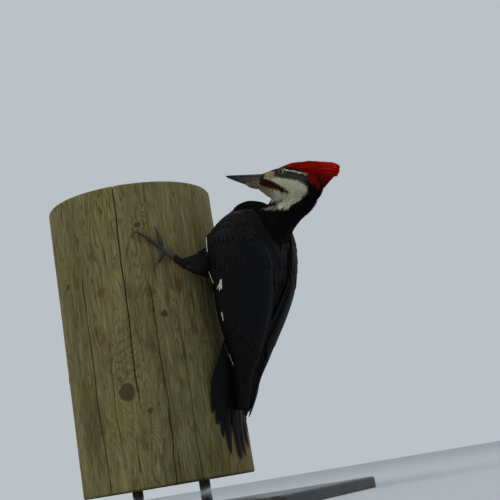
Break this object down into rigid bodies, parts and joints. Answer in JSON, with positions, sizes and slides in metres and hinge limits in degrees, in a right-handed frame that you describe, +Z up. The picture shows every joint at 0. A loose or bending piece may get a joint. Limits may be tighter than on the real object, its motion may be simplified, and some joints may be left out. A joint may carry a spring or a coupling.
{
  "type": "pileated woodpecker museum model",
  "caption": "Still life-size model of a crested black woodpecker clinging upright to a cut length of wooden utility pole, held on two short rods over a flat display base.",
  "frame": {"origin": "centre of the display base's flat underside", "axes": "+Z up; +X from the pole's axis out through the bird, so the bird faces -X and looks round to its left; +Y towards the bird's right"},
  "size_m": [0.4108, 0.262, 0.416],
  "materials": {
    "plumage": "matte black feathers with a faint sheen, white marks on the head, neck and wings",
    "crest_red": "soft scarlet feathers, darker at the nape",
    "bill_horn": "satin slate-grey horn, paler on the lower mandible",
    "eye": "wet gloss, dark pupil in a pale yellow iris",
    "foot_skin": "dark grey scaly skin",
    "claw_horn": "satin black horn",
    "pole_wood": "weathered olive-brown treated pine with checks and knots",
    "stand_black": "satin black lacquered hardwood",
    "stand_steel": "brushed"
  },
  "bodies": {
    "root": {"stand_base": "stand_black", "stand_rod_inner": "stand_steel", "stand_rod_outer": "stand_steel", "perch_pole": "pole_wood", "trunk": "plumage", "neck": "plumage", "head": "plumage", "crest": "crest_red", "bill_upper": "bill_horn", "bill_lower": "bill_horn", "eye_left": "eye", "eye_right": "eye", "tail": "plumage", "wing_left": "plumage", "wing_right": "plumage", "thigh_left": "plumage", "thigh_right": "plumage", "foot_left": "foot_skin", "foot_right": "foot_skin", "claw_1_left": "claw_horn", "claw_2_left": "claw_horn", "claw_3_left": "claw_horn", "claw_4_left": "claw_horn", "claw_1_right": "claw_horn", "claw_2_right": "claw_horn", "claw_3_right": "claw_horn", "claw_4_right": "claw_horn"}
  },
  "joints": []
}
